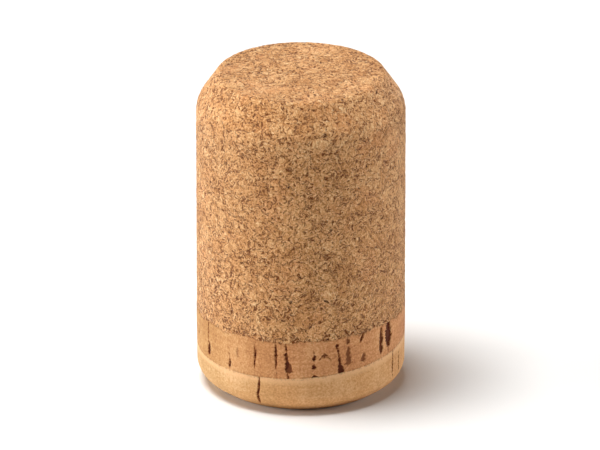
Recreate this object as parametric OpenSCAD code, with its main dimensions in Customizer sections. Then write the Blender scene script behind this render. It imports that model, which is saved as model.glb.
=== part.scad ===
// Cork stopper for a sparkling-wine bottle, before it is pressed into the neck.
// A granulated cork body with a chamfered head carries two discs of natural cork,
// glued one under the other on the end that goes into the bottle.
// Millimetres, +Z up, origin at the middle of the foot.

/* [Stopper] */
// Diameter of the shank
shank_d = 30.5; // [28:0.1:34]
// Height from the foot to the head
total_h = 48; // [40:0.5:60]

/* [Head] */
// How far the head's chamfer comes in from the side
chamfer_in = 3.1; // [1.5:0.1:4.5]
// How far the head's chamfer runs down the side
chamfer_down = 4.5; // [2.5:0.1:7]

/* [Foot] */
// How far the foot's bevel comes in from the side
bevel_in = 2.8; // [1:0.1:4]
// How far the foot's bevel runs up the side
bevel_up = 2; // [1.5:0.1:3]
// How much smaller the outer disc is in radius than the shank
draw_in = 0.1; // [0:0.01:0.3]

/* [Soft edges] */
// Length of the worn edge along the side, where a chamfer or bevel meets it
side_soft = 1.3; // [0.2:0.1:1.4]
// Length of the worn edge at the rim of the head and of the foot
rim_soft = 0.5; // [0.1:0.1:0.9]

/* [Glued joints] */
// Height of the joint between the body and the inner disc, on the axis
body_joint_h = 12; // [11:0.1:15]
// Lean of that joint, in degrees
body_joint_lean = 1.4; // [0:0.1:3]
// Where that joint rises to, in degrees anticlockwise from +X seen from the head
body_joint_turn = 34; // [0:1:359]
// Height of the joint between the two discs, on the axis
disc_joint_h = 6.9; // [6:0.1:8]
// Lean of that joint, in degrees
disc_joint_lean = 4.2; // [0:0.1:5]
// Where that joint rises to, in degrees anticlockwise from +X seen from the head
disc_joint_turn = 45; // [0:1:359]

/* [Hidden] */

// Radius of the shank
shank_r = shank_d / 2;
// Height at which the side starts to draw in towards the foot, under the body's joint
draw_in_h = body_joint_h - 2;
// Straight steps in one worn edge
edge_steps = 6;
// Facets in a full turn
turn_fn = 180;
// Edge of the cube that stands for everything under a joint
cut = total_h + 2 * shank_d;

// Corners of the outline, each with the length of its worn edge: [radius, height, soft]
CORNERS = [
    [0, 0, 0],
    [shank_r - draw_in - bevel_in, 0, rim_soft],
    [shank_r - draw_in, bevel_up, side_soft],
    [shank_r, draw_in_h, 0],
    [shank_r, total_h - chamfer_down, side_soft],
    [shank_r - chamfer_in, total_h, rim_soft],
    [0, total_h, 0],
];

// The [radius, height] of a corner, without its soft length
function spot(i) = [CORNERS[i][0], CORNERS[i][1]];

// The point that lies a length away from corner i, towards corner j
function towards(i, j, length) = spot(i) + length * (spot(j) - spot(i)) / norm(spot(j) - spot(i));

// Points of the curve that starts along a to b and ends along b to c
function curve(a, b, c) = [
    for (i = [0 : edge_steps])
        let (t = i / edge_steps)
        (1 - t) * (1 - t) * a + 2 * t * (1 - t) * b + t * t * c
];

// Points of the outline at corner i: the corner itself, or its worn edge
function corner(i) = CORNERS[i][2] == 0
    ? [spot(i)]
    : curve(towards(i, i - 1, CORNERS[i][2]), spot(i), towards(i, i + 1, CORNERS[i][2]));

// The whole stopper as it is ground, all three pieces as one
module ground_blank() {
    rotate_extrude($fn = turn_fn)
        polygon([for (i = [0 : len(CORNERS) - 1]) each corner(i)]);
}

// Everything under a joint at height h on the axis, with its lean and the way it rises
module under_joint(h, lean, turn) {
    translate([0, 0, h])
        rotate([0, -lean, turn])
            translate([-cut / 2, -cut / 2, -cut])
                cube(cut);
}

// Everything under the joint between the body and the inner disc
module under_body() {
    under_joint(body_joint_h, body_joint_lean, body_joint_turn);
}

// Everything under the joint between the two discs
module under_inner_disc() {
    under_joint(disc_joint_h, disc_joint_lean, disc_joint_turn);
}

// Granulated cork: the head with its chamfer, and the shank
module granulated_body() {
    color("#c49462")
        difference() {
            ground_blank();
            under_body();
        }
}

// Natural cork, the darker and pinker disc next to the body
module inner_disc() {
    color("#b9825a")
        difference() {
            intersection() {
                ground_blank();
                under_body();
            }
            under_inner_disc();
        }
}

// Natural cork, the paler disc with the foot's bevel, which meets the wine
module outer_disc() {
    color("#d0a16c")
        intersection() {
            ground_blank();
            under_inner_disc();
        }
}

granulated_body();
inner_disc();
outer_disc();
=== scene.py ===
"""The looks of a cork stopper for a sparkling-wine bottle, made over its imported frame.

The stopper is three glued pieces: a granulated cork body with a chamfered head, and two discs of
natural cork on the end that goes into the neck. Each piece is turned as a closed shell, gets its
pores and lenticels as relief cut into the shell, and is dressed in its own procedural cork.
"""

import logging
import math
import random
from dataclasses import dataclass, field
from enum import Enum
from itertools import pairwise
from typing import Any, ClassVar

import bmesh
import bpy
from mathutils import Matrix, Vector, noise


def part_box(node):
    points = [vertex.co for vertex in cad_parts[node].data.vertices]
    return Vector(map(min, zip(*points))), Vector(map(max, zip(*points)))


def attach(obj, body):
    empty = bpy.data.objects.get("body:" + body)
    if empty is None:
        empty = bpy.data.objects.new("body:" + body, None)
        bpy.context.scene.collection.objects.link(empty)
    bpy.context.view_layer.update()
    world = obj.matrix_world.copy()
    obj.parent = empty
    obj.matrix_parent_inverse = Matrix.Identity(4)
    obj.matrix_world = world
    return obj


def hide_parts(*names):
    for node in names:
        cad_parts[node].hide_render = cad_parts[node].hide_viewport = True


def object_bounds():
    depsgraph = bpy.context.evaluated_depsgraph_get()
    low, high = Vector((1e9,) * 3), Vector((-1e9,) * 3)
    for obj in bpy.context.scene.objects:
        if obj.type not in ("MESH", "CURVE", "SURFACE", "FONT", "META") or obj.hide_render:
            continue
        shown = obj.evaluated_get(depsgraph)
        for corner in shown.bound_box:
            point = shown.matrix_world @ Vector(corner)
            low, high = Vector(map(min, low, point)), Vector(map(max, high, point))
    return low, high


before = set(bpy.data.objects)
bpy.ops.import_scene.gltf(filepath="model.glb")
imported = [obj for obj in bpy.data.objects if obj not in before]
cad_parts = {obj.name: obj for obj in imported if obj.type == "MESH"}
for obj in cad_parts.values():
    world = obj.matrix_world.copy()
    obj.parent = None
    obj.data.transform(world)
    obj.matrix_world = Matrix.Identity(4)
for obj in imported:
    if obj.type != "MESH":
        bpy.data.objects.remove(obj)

CAD_BOX = [list(corner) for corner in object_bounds()]
LOG = logging.getLogger("stopper")
Socket = bpy.types.NodeSocket
Tree = bpy.types.NodeTree

MM = 0.001  # one millimetre, in Blender's metres
FULL_TURN = 2 * math.pi


def linear(code: str) -> tuple[float, float, float, float]:
    """Turn an sRGB hex colour into linear light.

    Args:
        code: The colour as six hex digits, such as "c49462".

    Returns:
        Linear red, green, blue and an alpha of 1.
    """
    parts = [int(code[i : i + 2], 16) / 255 for i in (0, 2, 4)]
    light = [c / 12.92 if c <= 0.04045 else ((c + 0.055) / 1.055) ** 2.4 for c in parts]
    return (*light, 1.0)


def add(tree: Tree, kind: str, inputs: dict | None = None, **settings: Any) -> bpy.types.Node:
    """Add one node with its settings, its input values and its links.

    Args:
        tree: The node tree that gets the node.
        kind: The node's type name.
        inputs: Socket name or number to a value, or to the socket that feeds it.
        settings: The node's own properties; ramp is a list of (position, hex colour).

    Returns:
        The new node.
    """
    node = tree.nodes.new(kind)
    ramp = settings.pop("ramp", [])
    for name, value in settings.items():
        setattr(node, name, value)
    for number, (position, code) in enumerate(ramp):
        stops = node.color_ramp.elements
        stop = stops[number] if number < len(stops) else stops.new(position)
        stop.position = position
        stop.color = linear(code)
    for key, value in (inputs or {}).items():
        if isinstance(value, Socket):
            tree.links.new(value, node.inputs[key])
        else:
            node.inputs[key].default_value = value
    return node


class Mix:
    """Numbers of the Mix node's sockets, which share their names."""

    FACTOR, A, B, COLOUR_A, COLOUR_B = 0, 2, 3, 6, 7
    COLOUR = 2


@dataclass(frozen=True)
class Outline:
    """The stopper's ground outline, in mm: straight side, chamfered head and bevelled foot."""

    radius: float
    height: float
    chamfer_in: float = 3.1
    chamfer_down: float = 4.5
    bevel_in: float = 2.8
    bevel_up: float = 2.0
    draw_in: float = 0.1
    draw_in_height: float = 10.0
    side_soft: float = 1.3
    rim_soft: float = 0.5

    def side_radius(self, height: float) -> float:
        """Return the straight side's radius at a height, drawn in a little near the foot."""
        share = (self.draw_in_height - height) / (self.draw_in_height - self.bevel_up)
        return self.radius - self.draw_in * min(max(share, 0.0), 1.0)


@dataclass(frozen=True)
class GlueLine:
    """A glued joint in mm: a plane that leans a little, with a ripple along its rim."""

    height: float
    slope: float
    rises_to: float
    ripple: float
    WANDER: ClassVar[tuple] = ((0.45, 1.0), (1.3, 0.5), (3.1, 0.7))  # waves for each mm, and strength
    RIM: ClassVar[float] = 10.0  # the ripple is full from this far out

    @classmethod
    def between(cls, under: str, over: str, radius: float, rises_to: float, ripple: float) -> "GlueLine":
        """Read the joint between two nodes of the frame.

        Args:
            under: The node below the joint.
            over: The node above it.
            radius: The stopper's radius, in mm.
            rises_to: Where the joint rises to, in degrees anticlockwise from +X.
            ripple: How far the rim wanders up and down, in mm.

        Returns:
            The joint, with its height on the axis and its slope.
        """
        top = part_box(under)[1].z / MM
        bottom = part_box(over)[0].z / MM
        return cls((top + bottom) / 2, (top - bottom) / (2 * radius), math.radians(rises_to), ripple)

    def rise(self, x: float, y: float) -> float:
        """Work out how far the joint lies above its height on the axis.

        Args:
            x: The place across the stopper, in mm.
            y: The place across the stopper, in mm.

        Returns:
            The rise over that place, in mm: the lean, and near the rim the ripple too.
        """
        lean = self.slope * (x * math.cos(self.rises_to) + y * math.sin(self.rises_to))
        place = Vector((x, y, self.height))
        wander = sum(strength * noise.noise(place * waves) for waves, strength in self.WANDER)
        rim_only = min(1.0, math.hypot(x, y) / self.RIM)
        return lean + self.ripple * wander * rim_only


@dataclass(frozen=True)
class Lenticel:
    """A dark pore of the bark that runs up a disc's side.

    Azimuth is in degrees from the front, growing to the right. The other sizes are in mm. Wedge
    moves the widest place from the middle (0) towards the foot (3). Dark goes from 0 for a stain
    to 1 for an open crack.
    """

    azimuth: float
    low: float
    high: float
    width: float
    slant: float = 0.0
    wedge: float = 0.0
    dark: float = 1.0

    def depth_inside(self, azimuth: float, height: float, radius: float) -> float:
        """Work out how far a point of the side lies inside the pore.

        Args:
            azimuth: The point's place round the side, in degrees from the front.
            height: The point's height, in mm.
            radius: The side's radius, in mm.

        Returns:
            The distance to the pore's edge, in mm; below 0 the point is outside.
        """
        share = min(max((height - self.low) / (self.high - self.low), 0.0), 1.0)
        swell = math.sin(math.pi * share ** (1.0 / (1.0 + 0.9 * self.wedge)))
        wobble = noise.noise(Vector((height * 0.9, self.azimuth, self.width)))
        torn = noise.noise(Vector((height * 3.7, azimuth * 0.8, self.width)))
        half = self.width / 2 * (0.4 + 0.6 * swell) * (1.0 + 0.4 * wobble + 0.5 * torn)
        middle = self.slant * (share - 0.5) + 0.15 * wobble
        turned = (azimuth - self.azimuth + 180.0) % 360.0 - 180.0
        beside = abs(math.radians(turned) * radius - middle)
        beyond = max(self.low - height, height - self.high, 0.0)
        return half - math.hypot(beside, beyond) if beyond else half - beside


@dataclass(frozen=True)
class Pore:
    """The mouth of a lenticel on the foot, in mm."""

    x: float
    y: float
    radius: float
    stretch: float
    turn: float

    def depth_inside(self, x: float, y: float) -> float:
        """Work out how far a point of the foot lies inside the mouth.

        Args:
            x: The point's place across the foot, in mm.
            y: The point's place across the foot, in mm.

        Returns:
            The distance to the mouth's edge, in mm; below 0 the point is outside.
        """
        along = (x - self.x) * math.cos(self.turn) + (y - self.y) * math.sin(self.turn)
        across = (y - self.y) * math.cos(self.turn) - (x - self.x) * math.sin(self.turn)
        return self.radius - math.hypot(along / self.stretch, across)


@dataclass
class TurnedShell:
    """A closed shell turned about the stopper's axis, in mm until it is made an object.

    Each corner is (radius, height, soft), where soft is how far its worn edge reaches along both
    neighbours. A seam is a glue line with the height at which the shell stops following it.
    """

    name: str
    outline: Outline
    corners: list[tuple[float, float, float]]
    seams: list[tuple[GlueLine, float]]
    segments: int
    spacing: float
    face_spacing: float = 0.3
    shell: bmesh.types.BMesh = field(default_factory=bmesh.new)
    SECTORS: ClassVar[int] = 8  # one is spun and the others are its copies, which is far quicker
    WORN_STEPS: ClassVar[int] = 6
    GLUED_NEAR: ClassVar[float] = 2.0  # a glued face's middle is this near its joint's height, in mm
    GLUED_SHRINK: ClassVar[float] = 0.25  # it is never seen, so it gets little of the sheet

    def __post_init__(self) -> None:
        """Turn the shell and lean its rims to the glue lines."""
        for layer in ("reach", "slit", "dark", "seam_gap"):
            self.shell.verts.layers.float.new(layer)
        self.shell.verts.layers.float_vector.new("inward")
        self.draw_wire()
        self.spin()
        self.lean()

    def layer(self, name: str) -> Any:
        """Return one of the shell's float layers."""
        return self.shell.verts.layers.float[name]

    def draw_wire(self) -> None:
        """Draw the half outline as a wire, with worn corners and even steps."""
        wire = self.shell
        points = [wire.verts.new((radius, 0.0, height)) for radius, height, _ in self.corners]
        for first, second in pairwise(points):
            wire.edges.new((first, second))
        for point, (_, _, soft) in zip(points, self.corners):
            if soft:
                bmesh.ops.bevel(wire, geom=[point], offset=soft, offset_type="OFFSET",
                                segments=self.WORN_STEPS, profile=0.5, affect="VERTICES", material=-1)
        nothing = self.spacing / 10
        for edge in list(wire.edges):
            inner, outer = sorted((vert.co for vert in edge.verts), key=lambda co: co.x)
            is_face = inner.x < nothing
            is_glued = is_face and any(abs(inner.z - seam.height) < nothing for seam, _ in self.seams)
            step = self.face_spacing if is_face else self.spacing
            cuts = round((outer - inner).length / step) - 1
            if cuts > 0 and not is_glued:
                bmesh.ops.subdivide_edges(wire, edges=[edge], cuts=cuts)
        self.walk_wire()

    def walk_wire(self) -> None:
        """Note each point's way along the wire from the foot, for the sheet."""
        reach = self.layer("reach")
        foot = Vector((self.corners[0][0], 0.0, self.corners[0][1]))
        here = min(self.shell.verts, key=lambda vert: (vert.co - foot).length)
        behind, walked = None, 0.0
        while here is not None:
            here[reach] = walked
            ahead = [edge for edge in here.link_edges if edge != behind]
            behind = ahead[0] if ahead else None
            walked += behind.calc_length() if behind else 0.0
            here = behind.other_vert(here) if behind else None

    def spin(self) -> None:
        """Spin the wire into one sector, repeat it round the axis, and close the shell."""
        whole = self.shell
        sector_turn = FULL_TURN / self.SECTORS
        bmesh.ops.spin(whole, geom=whole.verts[:] + whole.edges[:], axis=(0, 0, 1), cent=(0, 0, 0),
                       dvec=(0, 0, 0), angle=sector_turn, steps=self.segments // self.SECTORS,
                       use_merge=False, use_normal_flip=False, use_duplicate=False)
        sector = whole.verts[:] + whole.edges[:] + whole.faces[:]
        for number in range(1, self.SECTORS):
            copy = bmesh.ops.duplicate(whole, geom=sector)["geom"]
            bmesh.ops.rotate(whole, cent=(0, 0, 0), matrix=Matrix.Rotation(number * sector_turn, 3, "Z"),
                             verts=[part for part in copy if isinstance(part, bmesh.types.BMVert)])
        bmesh.ops.remove_doubles(whole, verts=whole.verts[:], dist=1e-4)
        bmesh.ops.recalc_face_normals(whole, faces=whole.faces[:])
        self.order_faces()

    def order_faces(self) -> None:
        """Put the faces in one order, because the spin lists them differently each time."""
        self.shell.verts.index_update()
        ordered = sorted(self.shell.faces, key=lambda face: sorted(vert.index for vert in face.verts))
        rank = {face: number for number, face in enumerate(ordered)}
        self.shell.faces.sort(key=rank.get)

    def lean(self) -> None:
        """Lean the rims to the glue lines, and note each point's gap to them and its way in."""
        gap = self.layer("seam_gap")
        rim_gap = self.spacing / 3
        for vert in self.shell.verts:
            x, y, z = vert.co
            for seam, still in self.seams:
                share = min(max((z - still) / (seam.height - still), 0.0), 1.0)
                vert.co.z += seam.rise(x, y) * share
            if math.hypot(x, y) > self.outline.radius / 2 and vert.co.z != z:
                vert.co.xy *= self.outline.side_radius(vert.co.z) / math.hypot(x, y)
            vert[gap] = min(abs(vert.co.z - seam.height - seam.rise(x, y)) for seam, _ in self.seams)
        self.shell.normal_update()
        inward = self.shell.verts.layers.float_vector["inward"]
        for vert in self.shell.verts:
            on_rim = vert[gap] < rim_gap
            way = Vector((vert.co.x, vert.co.y, 0.0)) if on_rim else vert.normal
            vert[inward] = -way.normalized()
        for edge in self.shell.edges:
            if all(vert[gap] < rim_gap for vert in edge.verts):
                edge.smooth = False
        for face in self.shell.faces:
            face.smooth = True

    def carve(self, deepest: float, slope: float) -> None:
        """Sink the points that lie inside a pore.

        Args:
            deepest: The greatest depth, in mm.
            slope: Depth gained for each mm that a point lies inside.
        """
        slit, dark = self.layer("slit"), self.layer("dark")
        inward = self.shell.verts.layers.float_vector["inward"]
        for vert in self.shell.verts:
            depth = min(max(vert[slit], 0.0) * slope, deepest) * vert[dark]
            if depth > 0:
                vert.co += vert[inward] * depth

    def unwrap(self, strips: int, side: float) -> None:
        """Lay the side out in strips and the end faces beside them, on a square sheet.

        Args:
            strips: How many strips the side is cut into; it divides the segments.
            side: The sheet's side, in mm of the stopper's surface.
        """
        sheet = self.shell.loops.layers.uv.new("OFBake")
        reach = self.layer("reach")
        ends = (self.corners[1][0], self.corners[-2][0])
        total = max(vert[reach] for vert in self.shell.verts)
        strip_turn = FULL_TURN / strips
        margin = side / 100
        stack = total - sum(ends) + margin
        beside = strip_turn * self.outline.radius + 2 * margin
        for face in self.shell.faces:
            centre = face.calc_center_median()
            middle = sum(vert[reach] for vert in face.verts) / len(face.verts)
            around = math.atan2(centre.y, centre.x) % FULL_TURN
            strip = int(around // strip_turn)
            at_head = middle > total - ends[1]
            radius = ends[at_head]
            glued = any(abs(centre.z - seam.height) < self.GLUED_NEAR for seam, _ in self.seams)
            shrink = self.GLUED_SHRINK if glued else 1.0
            for loop in face.loops:
                x, y, _ = loop.vert.co
                if ends[0] < middle < total - ends[1]:
                    turned = (math.atan2(y, x) - around + math.pi) % FULL_TURN - math.pi + around
                    u = margin + (turned - strip * strip_turn) * self.outline.radius
                    v = margin + strip * stack + loop.vert[reach] - ends[0]
                else:
                    u = beside + (radius + x) * shrink
                    centre_up = margin + radius * shrink
                    v = (side - centre_up if at_head else centre_up) + y * shrink
                loop[sheet].uv = (u / side, v / side)

    def make_object(self) -> bpy.types.Object:
        """Turn the shell into an object.

        Returns:
            The object, in metres and at the origin.
        """
        bmesh.ops.scale(self.shell, vec=(MM, MM, MM), verts=self.shell.verts[:])
        mesh = bpy.data.meshes.new(self.name)
        self.shell.to_mesh(mesh)
        self.shell.free()
        piece = bpy.data.objects.new(self.name, mesh)
        bpy.context.scene.collection.objects.link(piece)
        return piece


@dataclass(frozen=True)
class GranulePattern:
    """Cork granules pressed in a binder, as a pattern in space that colour and relief both read.

    Sizes are in mm. Coarse granules are 1 to 3 mm across; most are broken into finer ones.
    """

    coarse: float = 2.1
    fine: float = 0.95
    warp: float = 0.5
    speck_spacing: float = 1.0
    speck_radius: float = 0.27
    kept_whole: float = 0.35

    def build(self, tree: Tree, place: Socket) -> dict[str, Socket]:
        """Build the pattern's nodes.

        Args:
            tree: A shader or geometry node tree.
            place: The point's own place, in metres.

        Returns:
            Sockets by name: point (its place in mm), tone (0 to 1 by granule), streak and crumb
            (0 to 1, drawn out along a granule's layers), edge (mm to the nearest granule's edge)
            and speck (mm inside one).
        """
        point = add(tree, "ShaderNodeVectorMath", {0: place, "Scale": 1 / MM}, operation="SCALE").outputs[0]
        # Granules are torn, not cut, so their edges wander.
        wander = add(tree, "ShaderNodeTexNoise", {"Vector": point, "Scale": 0.8, "Detail": 3.0})
        centred = add(tree, "ShaderNodeVectorMath", {0: wander.outputs["Color"], 1: (0.5, 0.5, 0.5)},
                      operation="SUBTRACT")
        bent = add(tree, "ShaderNodeVectorMath",
                   {0: centred.outputs[0], 1: (4 * self.warp,) * 3, 2: point},
                   operation="MULTIPLY_ADD").outputs[0]
        chance, edges, colours = {}, {}, {}
        for name, size in (("coarse", self.coarse), ("fine", self.fine)):
            scaled = {"Vector": bent, "Scale": 1 / size}
            colours[name] = add(tree, "ShaderNodeTexVoronoi", scaled).outputs["Color"]
            chance[name] = add(tree, "ShaderNodeSeparateXYZ", {0: colours[name]})
            edge = add(tree, "ShaderNodeTexVoronoi", scaled, feature="DISTANCE_TO_EDGE")
            edges[name] = add(tree, "ShaderNodeMath", {0: edge.outputs["Distance"], 1: size},
                              operation="MULTIPLY").outputs[0]
        # Some coarse granules are whole; the others are filled with fine ones.
        whole = add(tree, "ShaderNodeMath", {0: chance["coarse"].outputs["X"], 1: self.kept_whole},
                    operation="LESS_THAN").outputs[0]
        tone = add(tree, "ShaderNodeMix", {Mix.FACTOR: whole, Mix.A: chance["fine"].outputs["Y"],
                                           Mix.B: chance["coarse"].outputs["Y"]})
        apart = add(tree, "ShaderNodeMath", {0: whole, 1: self.coarse, 2: edges["fine"]},
                    operation="MULTIPLY_ADD")
        edge = add(tree, "ShaderNodeMath", {0: edges["coarse"], 1: apart.outputs[0]}, operation="MINIMUM")
        # Each granule's own bark layers lie across a way of its own; the pattern is pressed along it.
        facing = add(tree, "ShaderNodeVectorMath", {0: colours["coarse"], 1: (0.5, 0.5, 0.5)},
                     operation="SUBTRACT")
        unit = add(tree, "ShaderNodeVectorMath", {0: facing.outputs[0]}, operation="NORMALIZE").outputs[0]
        along = add(tree, "ShaderNodeVectorMath", {0: bent, 1: unit}, operation="DOT_PRODUCT")
        layers = add(tree, "ShaderNodeVectorMath", {0: unit, "Scale": along.outputs["Value"]},
                     operation="SCALE")
        noises = {}
        for name, pressed, spacing, detail in (("streak", 3.5, 1.5, 1.0), ("crumb", 1.5, 0.5, 3.0)):
            stretched = add(tree, "ShaderNodeVectorMath",
                            {0: layers.outputs[0], 1: (pressed,) * 3, 2: bent},
                            operation="MULTIPLY_ADD")
            noises[name] = add(tree, "ShaderNodeTexNoise",
                               {"Vector": stretched.outputs[0], "Scale": 1 / spacing, "Detail": detail,
                                "Roughness": 0.6}).outputs["Fac"]
        # Specks of bark: about one place in four has one, of any size up to the largest.
        spots = add(tree, "ShaderNodeTexVoronoi", {"Vector": bent, "Scale": 1 / self.speck_spacing})
        spot_chance = add(tree, "ShaderNodeSeparateXYZ", {0: spots.outputs["Color"]})
        size = add(tree, "ShaderNodeMapRange", {"Value": spot_chance.outputs["Z"], 1: 0.0, 2: 0.25,
                                                3: self.speck_radius, 4: 0.0})
        spot = add(tree, "ShaderNodeMath", {0: spots.outputs["Distance"], 1: -self.speck_spacing,
                                            2: size.outputs[0]}, operation="MULTIPLY_ADD")
        return {"point": point, "tone": tone.outputs[0], "edge": edge.outputs[0],
                "speck": spot.outputs[0], **noises}


@dataclass(frozen=True)
class GranulatedCork:
    """Granulated cork: bark ground to granules, moulded with a binder and sanded; sizes in mm."""

    pattern: GranulePattern
    roughness: float = 0.85
    specular: float = 0.25
    dustiness: float = 0.12
    speck_depth: float = 0.16
    torn_depth: float = 0.10
    groove_depth: float = 0.05
    uneven: float = 0.03
    fine_rise: float = 0.12
    tones: tuple[str, ...] = ("845026", "be834c", "d9a068", "e8b780", "f6d3a0")
    rusty_tint: str = "fdf4ef"
    torn_shade: str = "7c4215"
    speck_shade: str = "54290c"

    def relief(self, tree: Tree, pattern: dict[str, Socket]) -> Socket:
        """Build the nodes of the relief.

        Args:
            tree: The geometry node tree.
            pattern: The granule pattern's sockets.

        Returns:
            The depth below the ground surface, in mm.
        """
        pit = add(tree, "ShaderNodeMapRange",
                  {"Value": pattern["speck"], 1: -0.06, 2: 0.14, 3: 0.0, 4: self.speck_depth})
        torn = add(tree, "ShaderNodeMapRange",
                   {"Value": pattern["crumb"], 1: 0.30, 2: 0.46, 3: self.torn_depth, 4: 0.0})
        groove = add(tree, "ShaderNodeMapRange",
                     {"Value": pattern["edge"], 1: 0.0, 2: 0.2, 3: self.groove_depth, 4: 0.0})
        depth = add(tree, "ShaderNodeMath", {0: pattern["tone"], 1: self.uneven, 2: pit.outputs[0]},
                    operation="MULTIPLY_ADD").outputs[0]
        for more in (torn, groove):
            depth = add(tree, "ShaderNodeMath", {0: depth, 1: more.outputs[0]}, operation="ADD").outputs[0]
        return depth

    def material(self) -> bpy.types.Material:
        """Make the material, whose pattern sits where the relief is.

        Returns:
            The material.
        """
        # Granulated cork, moulded and sanded: tan crumbs of mixed tone, dark bark between them and
        # no gloss. The dust that sanding leaves gives it a faint pale bloom at the edges.
        material = bpy.data.materials.new("granulated_cork_ground")
        material.use_nodes = True
        tree = material.node_tree
        tree.nodes.clear()
        pattern = self.pattern.build(tree, add(tree, "ShaderNodeTexCoord").outputs["Object"])
        # Real cork cells are 0.03 mm across, too fine to show, so they are drawn 0.25 mm across.
        fine = add(tree, "ShaderNodeTexNoise", {"Vector": pattern["point"], "Scale": 4.0, "Detail": 2.0,
                                                "Roughness": 0.6}).outputs["Fac"]
        broad = add(tree, "ShaderNodeTexNoise",
                    {"Vector": pattern["point"], "Scale": 0.2, "Detail": 2.0}).outputs["Fac"]
        level = 0.0
        for part, weight in ((pattern["tone"], 0.25), (broad, 0.5), (pattern["streak"], 0.7),
                             (pattern["crumb"], 1.4), (fine, 1.35)):
            level = add(tree, "ShaderNodeMath", {0: part, 1: weight, 2: level},
                        operation="MULTIPLY_ADD").outputs[0]
        grains = self.grain_colour(tree, level, broad)
        mark = self.torn_share(tree, pattern)
        marked = add(tree, "ShaderNodeMix", {Mix.FACTOR: mark, Mix.COLOUR_A: grains,
                                             Mix.COLOUR_B: linear(self.torn_shade)}, data_type="RGBA")
        # Specks of bark have a ragged edge.
        ragged = add(tree, "ShaderNodeMath", {0: fine, 1: 0.9, 2: pattern["speck"]},
                     operation="MULTIPLY_ADD")
        speck = add(tree, "ShaderNodeMapRange", {"Value": ragged.outputs[0], 1: 0.46, 2: 0.54})
        specked = add(tree, "ShaderNodeMix", {Mix.FACTOR: speck.outputs[0],
                                              Mix.COLOUR_A: marked.outputs[Mix.COLOUR],
                                              Mix.COLOUR_B: linear(self.speck_shade)}, data_type="RGBA")
        # What is dark also lies low.
        raised = add(tree, "ShaderNodeMath", {0: mark, 1: -0.7, 2: level}, operation="MULTIPLY_ADD")
        height = add(tree, "ShaderNodeMath", {0: speck.outputs[0], 1: -0.8, 2: raised.outputs[0]},
                     operation="MULTIPLY_ADD")
        bump = add(tree, "ShaderNodeBump", {"Height": height.outputs[0], "Strength": 1.0,
                                            "Distance": self.fine_rise * MM})
        shader = add(tree, "ShaderNodeBsdfPrincipled",
                     {"Base Color": specked.outputs[Mix.COLOUR], "Roughness": self.roughness,
                      "Specular IOR Level": self.specular, "Sheen Weight": self.dustiness,
                      "Normal": bump.outputs[0]})
        add(tree, "ShaderNodeOutputMaterial", {"Surface": shader.outputs[0]})
        return material

    def grain_colour(self, tree: Tree, level: Socket, broad: Socket) -> Socket:
        """Colour the granules, from dark bark to pale, with rustier areas.

        Args:
            tree: The material's node tree.
            level: How light each place is, from the noises together.
            broad: A noise of several mm, which says where the rustier areas are.

        Returns:
            The colour.
        """
        spread = add(tree, "ShaderNodeMapRange", {"Value": level, 1: 1.64, 2: 2.62})
        grains = add(tree, "ShaderNodeValToRGB", {0: spread.outputs[0]},
                     ramp=list(zip((0.0, 0.28, 0.55, 0.8, 1.0), self.tones)))
        rusty = add(tree, "ShaderNodeMapRange", {"Value": broad, 1: 0.52, 2: 0.66})
        return add(tree, "ShaderNodeMix", {Mix.FACTOR: rusty.outputs[0], Mix.COLOUR_A: grains.outputs[0],
                                           Mix.COLOUR_B: linear(self.rusty_tint)},
                   data_type="RGBA", blend_type="MULTIPLY").outputs[Mix.COLOUR]

    def torn_share(self, tree: Tree, pattern: dict[str, Socket]) -> Socket:
        """Find the torn, dark places: more of them at granule edges and next to the glue line.

        Args:
            tree: The material's node tree.
            pattern: The granule pattern's sockets.

        Returns:
            The share of dark, from 0 to 1.
        """
        far_in = add(tree, "ShaderNodeMapRange",
                     {"Value": pattern["edge"], 1: 0.0, 2: 0.3, 3: 0.0, 4: 0.06})
        gap = add(tree, "ShaderNodeAttribute", attribute_name="seam_gap").outputs["Fac"]
        crumbly = add(tree, "ShaderNodeMapRange", {"Value": gap, 1: 0.1, 2: 1.5, 3: -0.05, 4: 0.0})
        held = add(tree, "ShaderNodeMath", {0: pattern["crumb"], 1: far_in.outputs[0]}, operation="ADD")
        torn = add(tree, "ShaderNodeMath", {0: held.outputs[0], 1: crumbly.outputs[0]}, operation="ADD")
        clustered = add(tree, "ShaderNodeMath", {0: pattern["streak"], 1: 0.25, 2: torn.outputs[0]},
                        operation="MULTIPLY_ADD")
        return add(tree, "ShaderNodeMapRange",
                   {"Value": clustered.outputs[0], 1: 0.53, 2: 0.585, 3: 0.95, 4: 0.0}).outputs[0]


class Slice(Enum):
    """The slices of natural cork: dark, middle and light colour, and the tint of their left side."""

    PINK = ("b07049", "cd8e5b", "e1ab78", "e8f5ea")
    PALE = ("c38b56", "d9a168", "ebbc8a", "ebf8fe")


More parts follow.
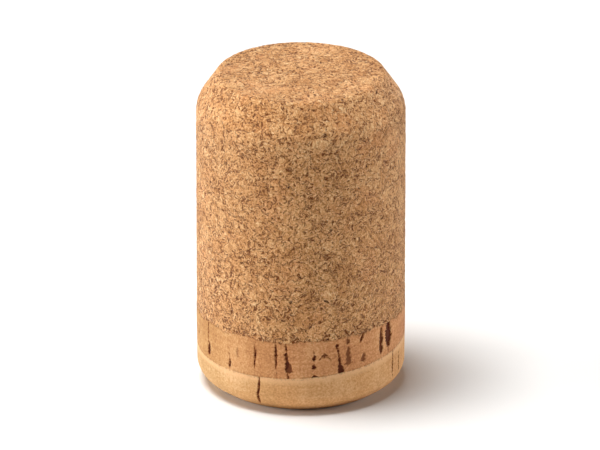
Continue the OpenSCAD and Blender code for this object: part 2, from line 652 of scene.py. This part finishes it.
@dataclass(frozen=True)
class NaturalCork:
    """Natural cork, punched from a slice of bark and sanded.

    A pale band along the rim at the glue line is a painted highlight of its edge; how pale it is goes from 0
    to 1. The fine rise is in mm.
    """

    cut: Slice
    rim_highlight: float = 0.0
    roughness: float = 0.7
    specular: float = 0.2
    fine_rise: float = 0.08
    seam_shade: str = "8a5a36"
    halo_shade: str = "8f5023"
    core_shade: str = "5a2405"

    def material(self) -> bpy.types.Material:
        """Make the material, which reads the shell's pores from its attributes.

        Returns:
            The material.
        """
        # Natural cork, punched and sanded: even, smooth and matte, with growth rings lying across
        # the axis and woody brown lenticels that run up through them.
        material = bpy.data.materials.new(f"natural_cork_{self.cut.name.lower()}_ground")
        material.use_nodes = True
        tree = material.node_tree
        tree.nodes.clear()
        place = add(tree, "ShaderNodeTexCoord").outputs["Object"]
        point = add(tree, "ShaderNodeVectorMath", {0: place, "Scale": 1 / MM}, operation="SCALE").outputs[0]
        # Each noise's scale is features for each mm across and up. The real cells, 0.03 mm across,
        # are too fine to show, so they are drawn 0.3 mm across.
        layers = {}
        for name, scale, detail in (("rings", (0.12, 0.12, 2.2), 3.0), ("patches", (0.15,) * 3, 2.0),
                                    ("streaks", (1.3, 1.3, 0.12), 3.0), ("cells", (3.5,) * 3, 3.0)):
            laid = add(tree, "ShaderNodeMapping", {"Vector": point, "Scale": scale})
            layers[name] = add(tree, "ShaderNodeTexNoise", {"Vector": laid.outputs[0], "Scale": 1.0,
                                                            "Detail": detail}).outputs["Fac"]
        level = layers["patches"]
        for name, weight in (("rings", 0.45), ("streaks", 0.4), ("cells", 1.5)):
            level = add(tree, "ShaderNodeMath", {0: layers[name], 1: weight, 2: level},
                        operation="MULTIPLY_ADD").outputs[0]
        ragged = add(tree, "ShaderNodeTexNoise", {"Vector": point, "Scale": 2.6, "Detail": 4.0,
                                                  "Roughness": 0.65}).outputs["Fac"]
        bark = self.bark_colour(tree, point, level, layers["patches"])
        colour, hollow = self.pore_colour(tree, self.rim_colour(tree, bark, ragged), ragged)
        height = add(tree, "ShaderNodeMath", {0: hollow, 1: -1.5, 2: level}, operation="MULTIPLY_ADD")
        bump = add(tree, "ShaderNodeBump", {"Height": height.outputs[0], "Strength": 0.4,
                                            "Distance": self.fine_rise * MM})
        shader = add(tree, "ShaderNodeBsdfPrincipled", {"Base Color": colour, "Roughness": self.roughness,
                                                        "Specular IOR Level": self.specular,
                                                        "Normal": bump.outputs[0]})
        add(tree, "ShaderNodeOutputMaterial", {"Surface": shader.outputs[0]})
        return material

    def bark_colour(self, tree: Tree, point: Socket, level: Socket, patches: Socket) -> Socket:
        """Colour the bark by its rings and cells, and tint its left side, towards -X, with less red.

        Args:
            tree: The material's node tree.
            point: The point's place, in mm.
            level: How light each place is, from the noises together.
            patches: A noise of several mm, by which the tint's edge strays.

        Returns:
            The colour.
        """
        spread = add(tree, "ShaderNodeMapRange", {"Value": level, 1: 1.25, 2: 2.1})
        dark, middle, light, tint = self.cut.value
        bark = add(tree, "ShaderNodeValToRGB", {0: spread.outputs[0]},
                   ramp=[(0.0, dark), (0.5, middle), (1.0, light)])
        across = add(tree, "ShaderNodeSeparateXYZ", {0: point}).outputs["X"]
        strayed = add(tree, "ShaderNodeMath", {0: patches, 1: 14.0, 2: across}, operation="MULTIPLY_ADD")
        # The tint is full on the left side, towards -X, and fades out towards the right.
        leftward = add(tree, "ShaderNodeMapRange",
                       {"Value": strayed.outputs[0], 1: -7.0, 2: 5.0, 3: 1.0, 4: 0.0})
        return add(tree, "ShaderNodeMix", {Mix.FACTOR: leftward.outputs[0], Mix.COLOUR_A: bark.outputs[0],
                                           Mix.COLOUR_B: linear(tint)},
                   data_type="RGBA", blend_type="MULTIPLY").outputs[Mix.COLOUR]

    def rim_colour(self, tree: Tree, colour: Socket, ragged: Socket) -> Socket:
        """Colour the rim at the glue lines: a pale band that is a painted highlight of its edge, and the
        glue's broken dark line.

        Args:
            tree: The material's node tree.
            colour: The bark's colour.
            ragged: A noise that breaks the line.

        Returns:
            The colour.
        """
        gap = add(tree, "ShaderNodeAttribute", attribute_name="seam_gap").outputs["Fac"]
        # Painted highlight: a pale band just under the glue line, in the slice's light colour.
        pale = add(tree, "ShaderNodeMapRange", {"Value": gap, 1: 0.4, 2: 1.2, 3: self.rim_highlight, 4: 0.0})
        rim_highlighted = add(tree, "ShaderNodeMix", {Mix.FACTOR: pale.outputs[0], Mix.COLOUR_A: colour,
                                             Mix.COLOUR_B: linear(self.cut.value[2])}, data_type="RGBA")
        broken = add(tree, "ShaderNodeMapRange", {"Value": ragged, 1: 0.40, 2: 0.60, 3: -0.25, 4: 0.25})
        rim = add(tree, "ShaderNodeMath", {0: gap, 1: broken.outputs[0]}, operation="ADD")
        near = add(tree, "ShaderNodeMapRange", {"Value": rim.outputs[0], 1: 0.0, 2: 0.15, 3: 0.35, 4: 0.0})
        return add(tree, "ShaderNodeMix", {Mix.FACTOR: near.outputs[0],
                                           Mix.COLOUR_A: rim_highlighted.outputs[Mix.COLOUR],
                                           Mix.COLOUR_B: linear(self.seam_shade)},
                   data_type="RGBA").outputs[Mix.COLOUR]

    def pore_colour(self, tree: Tree, colour: Socket, ragged: Socket) -> tuple[Socket, Socket]:
        """Colour the pores: a woody brown edge round a nearly black core.

        Args:
            tree: The material's node tree.
            colour: The colour between the pores.
            ragged: A noise that frays their edges.

        Returns:
            The colour, and the core's share from 0 to 1.
        """
        slit = add(tree, "ShaderNodeAttribute", attribute_name="slit").outputs["Fac"]
        depth = add(tree, "ShaderNodeAttribute", attribute_name="dark").outputs["Fac"]
        torn = add(tree, "ShaderNodeMath", {0: ragged, 1: 0.7, 2: slit}, operation="MULTIPLY_ADD")
        for start, end, shade in ((0.28, 0.42, self.halo_shade), (0.40, 0.48, self.core_shade)):
            share = add(tree, "ShaderNodeMapRange", {"Value": torn.outputs[0], 1: start, 2: end})
            core = add(tree, "ShaderNodeMath", {0: share.outputs[0], 1: depth},
                       operation="MULTIPLY").outputs[0]
            colour = add(tree, "ShaderNodeMix", {Mix.FACTOR: core, Mix.COLOUR_A: colour,
                                                 Mix.COLOUR_B: linear(shade)},
                         data_type="RGBA").outputs[Mix.COLOUR]
        return colour, core


@dataclass
class GranulatedBody:
    """The moulded body: its head with the chamfer, and the straight shank down to the discs."""

    outline: Outline
    lower_seam: GlueLine
    finish: GranulatedCork
    node: str = "granulated_body"
    segments: int = 440
    spacing: float = 0.22
    follows_seam: float = 6.0
    sheet: float = 77.0
    strips: int = 2

    def build(self) -> bpy.types.Object:
        """Build the body, with the relief of its granules cut in.

        Returns:
            The piece.
        """
        line = self.outline
        seam = self.lower_seam.height
        corners = [
            (0.0, seam, 0.0),
            (line.radius, seam, 0.0),
            (line.radius, line.height - line.chamfer_down, line.side_soft),
            (line.radius - line.chamfer_in, line.height, line.rim_soft),
            (0.0, line.height, 0.0),
        ]
        shell = TurnedShell(f"{self.node}_cork", line, corners,
                            [(self.lower_seam, seam + self.follows_seam)], self.segments, self.spacing)
        shell.unwrap(self.strips, self.sheet)
        piece = shell.make_object()
        self.cut_relief(piece)
        piece.data.materials.append(self.finish.material())
        return piece

    def cut_relief(self, piece: bpy.types.Object) -> None:
        """Sink the mesh by the finish's relief, and apply it.

        Args:
            piece: The piece, whose mesh is replaced.
        """
        group = bpy.data.node_groups.new("granule_relief", "GeometryNodeTree")
        for way in ("INPUT", "OUTPUT"):
            group.interface.new_socket("Geometry", in_out=way, socket_type="NodeSocketGeometry")
        pattern = self.finish.pattern.build(group, add(group, "GeometryNodeInputPosition").outputs[0])
        depth = self.finish.relief(group, pattern)
        inward = add(group, "GeometryNodeInputNamedAttribute", {"Name": "inward"}, data_type="FLOAT_VECTOR")
        metres = add(group, "ShaderNodeMath", {0: depth, 1: MM}, operation="MULTIPLY")
        offset = add(group, "ShaderNodeVectorMath", {0: inward.outputs[0], "Scale": metres.outputs[0]},
                     operation="SCALE")
        source = add(group, "NodeGroupInput")
        sunk = add(group, "GeometryNodeSetPosition",
                   {"Geometry": source.outputs[0], "Offset": offset.outputs[0]})
        add(group, "NodeGroupOutput", {0: sunk.outputs[0]})
        piece.modifiers.new("relief", "NODES").node_group = group
        finished = piece.evaluated_get(bpy.context.evaluated_depsgraph_get())
        piece.data = bpy.data.meshes.new_from_object(finished)
        piece.modifiers.clear()


@dataclass
class CorkDisc:
    """A disc of natural cork with lenticels up its side, in mm; sheet is its flat sheet's side."""

    node: str
    outline: Outline
    corners: list[tuple[float, float, float]]
    seams: list[tuple[GlueLine, float]]
    finish: NaturalCork
    lenticels: list[Lenticel]
    pores: list[Pore]
    segments: int
    spacing: float
    sheet: float
    strips: int = 4
    pore_depth: float = 0.25
    pore_slope: float = 1.2
    LOOK_ROUND: ClassVar[float] = 8.0  # no lenticel reaches further round, in degrees
    LOOK_NEAR: ClassVar[float] = 1.5  # no pore of the foot reaches further, in mm

    def build(self) -> bpy.types.Object:
        """Build the disc, with its pores cut in.

        Returns:
            The piece.
        """
        shell = TurnedShell(f"{self.node}_cork", self.outline, self.corners, self.seams, self.segments,
                            self.spacing)
        self.mark_pores(shell)
        shell.unwrap(self.strips, self.sheet)
        shell.carve(self.pore_depth, self.pore_slope)
        piece = shell.make_object()
        piece.data.materials.append(self.finish.material())
        return piece

    def mark_pores(self, shell: TurnedShell) -> None:
        """Write how far each point lies inside a pore, and how dark that pore is.

        Args:
            shell: The disc's shell.
        """
        slit, dark = shell.layer("slit"), shell.layer("dark")
        radius = self.outline.radius
        side_starts = radius - self.outline.bevel_in - 2 * self.outline.draw_in
        for vert in shell.shell.verts:
            x, y, z = vert.co
            azimuth = math.degrees(math.atan2(x, -y))
            found = [(-1.0, 0.0)]
            if math.hypot(x, y) > side_starts:
                found += [(pore.depth_inside(azimuth, z, radius), pore.dark) for pore in self.lenticels
                          if abs((azimuth - pore.azimuth + 180.0) % 360.0 - 180.0) < self.LOOK_ROUND]
            if z < self.outline.bevel_up:
                found += [(pore.depth_inside(x, y), 1.0) for pore in self.pores
                          if max(abs(x - pore.x), abs(y - pore.y)) < self.LOOK_NEAR]
            vert[slit], vert[dark] = max(found)


@dataclass
class Stopper:
    """The whole stopper: body, inner disc and outer disc, over their nodes in the frame.

    The cracks are the lenticels on the near side of each disc.
    """

    outline: Outline
    body_seam: GlueLine
    disc_seam: GlueLine
    inner_cracks: tuple[Lenticel, ...] = (
        Lenticel(-61.9, 6.6, 12.7, 0.24),
        Lenticel(-61.4, 6.6, 8.6, 0.75, wedge=1.5),
        Lenticel(-43.2, 7.0, 9.4, 0.18, dark=0.6),
        Lenticel(-42.9, 6.1, 7.5, 0.45, wedge=0.5),
        Lenticel(-37.1, 7.9, 9.8, 0.5, dark=0.25),
        Lenticel(-25.9, 7.1, 11.3, 0.34, slant=0.1),
        Lenticel(-25.0, 9.3, 10.2, 0.30, dark=0.5),
        Lenticel(-13.7, 7.5, 11.3, 0.44, wedge=-0.3),
        Lenticel(-13.4, 6.0, 7.6, 0.20, dark=0.45),
        Lenticel(-7.9, 10.4, 11.65, 0.42),
        Lenticel(-8.2, 8.9, 10.1, 0.62, wedge=-0.6),
        Lenticel(-7.4, 7.1, 9.7, 0.70, wedge=1.2),
        Lenticel(-6.4, 7.0, 8.2, 1.15, wedge=1.8, dark=0.7),
        Lenticel(-6.8, 5.9, 7.1, 0.36),
        Lenticel(7.2, 8.95, 9.7, 0.62, wedge=2.2),
        Lenticel(7.2, 9.7, 10.6, 0.22, dark=0.4),
        Lenticel(7.2, 7.6, 8.3, 0.80, wedge=2.2),
        Lenticel(7.6, 6.1, 6.5, 0.90, wedge=0.6),
        Lenticel(10.9, 8.9, 9.5, 0.34, slant=0.5, dark=0.6),
        Lenticel(13.2, 9.45, 9.75, 1.1, dark=0.65),
        Lenticel(15.9, 8.75, 9.45, 0.34, slant=-0.6, dark=0.6),
        Lenticel(19.9, 10.6, 11.2, 0.44),
        Lenticel(20.9, 8.8, 10.9, 0.32, slant=-0.3),
        Lenticel(21.7, 8.35, 9.0, 0.62, dark=0.9),
        Lenticel(22.3, 6.5, 8.5, 0.95, slant=-0.1, wedge=1.6),
        Lenticel(26.3, 10.9, 12.0, 0.6, wedge=1.2, dark=0.6),
        Lenticel(26.9, 7.9, 10.4, 0.85, wedge=0.3, dark=0.6),
        Lenticel(26.9, 7.7, 8.3, 1.2, wedge=2.0, dark=0.5),
        Lenticel(35.9, 10.8, 12.1, 0.6, slant=0.7),
        Lenticel(36.6, 7.7, 8.7, 1.0, wedge=1.6, dark=0.6),
        Lenticel(50.2, 7.9, 11.75, 1.0, wedge=0.5, dark=0.85),
        Lenticel(56.7, 8.6, 12.4, 1.6),
        Lenticel(56.8, 7.5, 8.1, 0.6, dark=0.35),
    )
    outer_cracks: tuple[Lenticel, ...] = (
        Lenticel(-24.1, 1.2, 5.9, 0.42, wedge=0.3, slant=0.3),
        Lenticel(61.8, 3.0, 7.3, 0.32),
        Lenticel(70.3, 3.0, 6.4, 0.36),
    )
    FAR_SIDE: ClassVar[tuple[float, float]] = (78.0, 286.0)  # azimuths that the near cracks leave free

    @classmethod
    def from_frame(cls) -> "Stopper":
        """Size a stopper by the frame.

        Returns:
            The stopper, whose glue lines lie where the frame's pieces meet.
        """
        low, high = (Vector(corner) / MM for corner in CAD_BOX)
        outline = Outline(radius=(high.x - low.x) / 2, height=high.z)
        body_seam = GlueLine.between("inner_disc", "granulated_body", outline.radius, 34.0, 0.35)
        disc_seam = GlueLine.between("outer_disc", "inner_disc", outline.radius, 45.0, 0.05)
        return cls(outline, body_seam, disc_seam)

    def body(self) -> GranulatedBody:
        """Return the granulated body."""
        return GranulatedBody(self.outline, self.body_seam, GranulatedCork(GranulePattern()))

    def inner_disc(self) -> CorkDisc:
        """Lay out the pinker disc, with the lenticels of its near side and scattered ones behind.

        Returns:
            The disc, not yet built.
        """
        line, low, high = self.outline, self.disc_seam.height, self.body_seam.height
        corners = [
            (0.0, low, 0.0),
            (line.side_radius(low), low, 0.0),
            (line.radius, high, 0.0),
            (0.0, high, 0.0),
        ]
        far = self.scatter(count=34, seed=4, low=7.0, high=11.6, leaning=self.disc_seam)
        return CorkDisc("inner_disc", line, corners, [(self.disc_seam, high), (self.body_seam, low)],
                        NaturalCork(Slice.PINK), [*self.inner_cracks, *far], [], segments=840,
                        spacing=0.11, sheet=33.0)

    def outer_disc(self) -> CorkDisc:
        """Lay out the paler disc with the foot's bevel, its cracks and the pores of its foot.

        Returns:
            The disc, not yet built.
        """
        line, high = self.outline, self.disc_seam.height
        corners = [
            (0.0, 0.0, 0.0),
            (line.radius - line.draw_in - line.bevel_in, 0.0, line.rim_soft),
            (line.radius - line.draw_in, line.bevel_up, line.side_soft),
            (line.side_radius(high), high, 0.0),
            (0.0, high, 0.0),
        ]
        far = self.scatter(count=16, seed=9, low=1.6, high=6.0, leaning=self.disc_seam)
        still = line.bevel_up + line.side_soft
        return CorkDisc("outer_disc", line, corners, [(self.disc_seam, still)],
                        NaturalCork(Slice.PALE, rim_highlight=0.7), [*self.outer_cracks, *far],
                        self.foot_pores(), segments=720, spacing=0.14, sheet=53.0)

    def scatter(self, count: int, seed: int, low: float, high: float, leaning: GlueLine) -> list[Lenticel]:
        """Scatter lenticels over the far side.

        Args:
            count: How many.
            seed: The seed of their places and sizes.
            low: The lowest height on the axis, in mm.
            high: The greatest height on the axis, in mm.
            leaning: The glue line whose lean they follow.

        Returns:
            The lenticels.
        """
        draw = random.Random(seed)
        start, end = self.FAR_SIDE
        radius = self.outline.radius
        found = []
        for number in range(count):
            azimuth = start + (number + draw.random()) * (end - start) / count
            angle = math.radians(azimuth)
            lift = leaning.rise(radius * math.sin(angle), -radius * math.cos(angle))
            foot = low + draw.random() ** 2 * (high - low) * 0.7
            length = min(0.6 + 4.0 * draw.random() ** 1.5, high - foot)
            found.append(Lenticel(azimuth, foot + lift, foot + lift + length, 0.2 + 0.6 * draw.random() ** 2,
                                  slant=draw.uniform(-0.2, 0.2), wedge=draw.uniform(-0.3, 0.9),
                                  dark=draw.choice((1.0, 1.0, 0.8, 0.5))))
        return found

    def foot_pores(self) -> list[Pore]:
        """Scatter the mouths of the lenticels that run through the outer disc.

        Returns:
            The mouths.
        """
        draw = random.Random(21)
        reach = self.outline.radius - self.outline.bevel_in
        pores = []
        for _ in range(46):
            away = reach * math.sqrt(draw.random())
            turn = draw.uniform(0.0, FULL_TURN)
            pores.append(Pore(away * math.cos(turn), away * math.sin(turn),
                              0.12 + 0.38 * draw.random() ** 2.5, draw.uniform(1.0, 2.2),
                              draw.uniform(0.0, math.pi)))
        return pores


@dataclass(frozen=True)
class Softbox:
    """A soft square lamp that faces the stopper.

    Azimuth is in degrees from the front, growing to the right; level is the light that it alone
    gives to a white surface facing it, where 1 is full white.
    """

    name: str
    azimuth: float
    elevation: float
    away: float
    side: float
    level: float

    def place(self, target: Vector) -> None:
        """Add the lamp to the scene.

        Args:
            target: The place that the lamp faces, in metres.
        """
        light = bpy.data.lights.new(self.name, "AREA")
        light.size = self.side
        light.energy = self.level * (math.pi * self.away) ** 2
        lamp = bpy.data.objects.new(self.name, light)
        around, up = math.radians(self.azimuth), math.radians(self.elevation)
        way = Vector((math.sin(around) * math.cos(up), -math.cos(around) * math.cos(up), math.sin(up)))
        lamp.location = target + way * self.away
        lamp.rotation_euler = way.to_track_quat("Z", "Y").to_euler()
        bpy.context.scene.collection.objects.link(lamp)


@dataclass(frozen=True)
class Studio:
    """A pale floor, soft lamps and the camera, round the stopper's middle.

    The camera is so many metres away; its lens and its aim off the target are in mm.
    """

    target: Vector
    lamps: tuple[Softbox, ...] = (
        Softbox("key_left", azimuth=-88.0, elevation=8.0, away=2.0, side=1.2, level=1.12),
        Softbox("fill_right", azimuth=103.0, elevation=4.0, away=2.0, side=1.3, level=0.80),
        Softbox("overhead", azimuth=-90.0, elevation=77.5, away=2.0, side=1.0, level=1.27),
    )
    floor_reach: float = 2.5
    camera_elevation: float = 22.71
    camera_away: float = 1.5
    lens: float = 617.2
    aim: tuple[float, float, float] = (-0.128, 0.0, -0.056)

    def build(self) -> None:
        """Add the floor, the lamps, the backdrop and the camera."""
        self.lay_floor()
        for lamp in self.lamps:
            lamp.place(self.target)
        self.hang_backdrop()
        self.set_camera()

    def lay_floor(self) -> None:
        """Add the floor."""
        floor = bmesh.new()
        bmesh.ops.create_grid(floor, x_segments=1, y_segments=1, size=self.floor_reach)
        mesh = bpy.data.meshes.new("floor")
        floor.to_mesh(mesh)
        floor.free()
        slab = bpy.data.objects.new("floor", mesh)
        bpy.context.scene.collection.objects.link(slab)
        # Uncoated paper: nearly white, with no gloss at all.
        material = bpy.data.materials.new("paper_matte")
        material.use_nodes = True
        paper = material.node_tree.nodes["Principled BSDF"]
        paper.inputs["Base Color"].default_value = linear("edecea")
        paper.inputs["Roughness"].default_value = 1.0
        paper.inputs["Specular IOR Level"].default_value = 0.0
        mesh.materials.append(material)

    def hang_backdrop(self) -> None:
        """Give the scene a white backdrop, which the camera sees but which lights nothing."""
        world = bpy.data.worlds.new("backdrop")
        bpy.context.scene.world = world
        world.use_nodes = True
        tree = world.node_tree
        tree.nodes.clear()
        seen = add(tree, "ShaderNodeLightPath").outputs["Is Camera Ray"]
        glow = add(tree, "ShaderNodeBackground", {"Color": linear("ffffff"), "Strength": seen})
        add(tree, "ShaderNodeOutputWorld", {"Surface": glow.outputs[0]})

    def set_camera(self) -> None:
        """Add the camera and make it the scene's."""
        data = bpy.data.cameras.new("camera")
        data.lens = self.lens
        data.sensor_width = 36.0
        data.clip_end = 100.0
        camera = bpy.data.objects.new("camera", data)
        up = math.radians(self.camera_elevation)
        way = Vector((0.0, -math.cos(up), math.sin(up)))
        camera.location = self.target + Vector(self.aim) * MM + way * self.camera_away
        camera.rotation_euler = way.to_track_quat("Z", "Y").to_euler()
        bpy.context.scene.collection.objects.link(camera)
        bpy.context.scene.camera = camera
        bpy.context.scene.view_settings.view_transform = "Standard"


def main() -> None:
    """Build the studio and the stopper's pieces, and tie each piece to the frame."""
    logging.basicConfig(level=logging.INFO, format="%(name)s: %(message)s")
    low, high = (Vector(corner) for corner in CAD_BOX)
    Studio(target=(low + high) / 2).build()
    stopper = Stopper.from_frame()
    for maker in (stopper.body(), stopper.inner_disc(), stopper.outer_disc()):
        piece = maker.build()
        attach(piece, "root")
        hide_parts(maker.node)
        LOG.info("%s: %d triangles", piece.name, sum(len(face.vertices) - 2 for face in piece.data.polygons))


if __name__ == "__main__":
    main()
